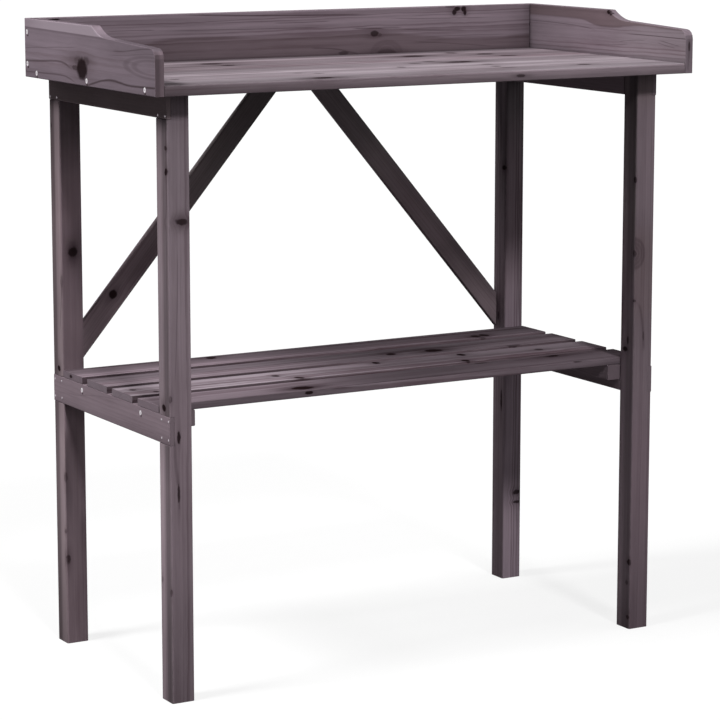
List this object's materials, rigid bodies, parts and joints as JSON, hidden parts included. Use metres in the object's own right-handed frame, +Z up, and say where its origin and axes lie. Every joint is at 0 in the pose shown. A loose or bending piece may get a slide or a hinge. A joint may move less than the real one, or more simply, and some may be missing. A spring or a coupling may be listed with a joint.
{
  "type": "potting bench",
  "caption": "Stained pine potting bench with a boarded worktop, low side and back boards, a slatted shelf and diagonal back braces.",
  "frame": {"origin": "on the floor, under the middle of the bench's bounding box", "axes": "+X along the bench to the right as seen from the front, +Y to the back, +Z up; the front edge of the worktop faces -Y"},
  "size_m": [0.825, 0.4042, 0.8741],
  "materials": {
    "frame_pine": "grey-brown stained, sawn and planed, matt",
    "board_pine": "grey-brown stained, planed, matt",
    "worktop_pine": "grey-brown stained, planed, matt",
    "shelf_pine": "grey-brown stained, planed, matt",
    "brace_pine": "grey-brown stained, sawn, matt",
    "bright_zinc": "bright zinc plate"
  },
  "bodies": {
    "root": {"front_left_leg": "frame_pine", "front_right_leg": "frame_pine", "back_left_leg": "frame_pine", "back_right_leg": "frame_pine", "left_top_rail": "frame_pine", "right_top_rail": "frame_pine", "left_shelf_rail": "frame_pine", "right_shelf_rail": "frame_pine", "left_shelf_batten": "frame_pine", "right_shelf_batten": "frame_pine", "shelf_slat_1": "shelf_pine", "shelf_slat_2": "shelf_pine", "shelf_slat_3": "shelf_pine", "shelf_slat_4": "shelf_pine", "top_plank_1": "worktop_pine", "top_plank_2": "worktop_pine", "top_plank_3": "worktop_pine", "top_plank_4": "worktop_pine", "back_board": "board_pine", "left_side_board": "board_pine", "right_side_board": "board_pine", "left_brace": "brace_pine", "right_brace": "brace_pine", "left_board_screw_1": "bright_zinc", "left_board_screw_2": "bright_zinc", "left_board_screw_3": "bright_zinc", "left_board_screw_4": "bright_zinc", "left_board_screw_5": "bright_zinc", "right_board_screw_1": "bright_zinc", "right_board_screw_2": "bright_zinc", "right_board_screw_3": "bright_zinc", "right_board_screw_4": "bright_zinc", "right_board_screw_5": "bright_zinc", "left_rail_screw_1": "bright_zinc", "left_rail_screw_2": "bright_zinc", "right_rail_screw_1": "bright_zinc", "right_rail_screw_2": "bright_zinc"}
  },
  "joints": []
}
